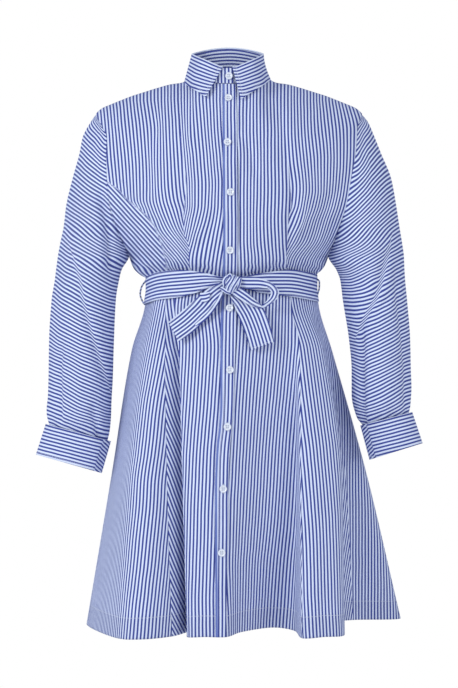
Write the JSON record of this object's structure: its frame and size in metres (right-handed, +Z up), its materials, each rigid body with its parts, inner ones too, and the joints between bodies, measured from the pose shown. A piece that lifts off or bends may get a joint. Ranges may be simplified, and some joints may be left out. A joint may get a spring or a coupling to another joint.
{
  "type": "shirt dress",
  "caption": "Hollow knee-length shirt dress with a turn-down collar, full-length button placket, long cuffed sleeves, gathered waist, tie belt with a bow and a flared skirt with deep folds",
  "frame": {"origin": "middle of the neck base, where the dress hangs from the wearer's shoulders", "axes": "+X the wearer's left, -Y the front, +Z up"},
  "size_m": [0.6053, 0.3414, 0.9238],
  "materials": {
    "striped_poplin": "matt",
    "button_resin": "gloss",
    "cotton_thread": "matt"
  },
  "bodies": {
    "root": {"bodice_front_right": "striped_poplin", "bodice_front_left": "striped_poplin", "bodice_back": "striped_poplin", "sleeve_right": "striped_poplin", "sleeve_left": "striped_poplin", "cuff_right": "striped_poplin", "cuff_left": "striped_poplin", "skirt_front_right": "striped_poplin", "skirt_side_right": "striped_poplin", "skirt_back": "striped_poplin", "skirt_side_left": "striped_poplin", "skirt_front_left": "striped_poplin", "placket_bodice": "striped_poplin", "placket_skirt": "striped_poplin", "collar_stand": "striped_poplin", "collar_fall": "striped_poplin", "belt_band": "striped_poplin", "bow_loop": "striped_poplin", "bow_tail_right": "striped_poplin", "bow_tail_left": "striped_poplin", "bow_knot": "striped_poplin", "button_01": "button_resin", "button_02": "button_resin", "button_03": "button_resin", "button_04": "button_resin", "button_05": "button_resin", "button_06": "button_resin", "button_07": "button_resin", "button_08": "button_resin", "button_09": "button_resin", "button_10": "button_resin", "cuff_button_right": "button_resin", "cuff_button_left": "button_resin", "belt_loop_right": "cotton_thread", "belt_loop_left": "cotton_thread"}
  },
  "joints": []
}
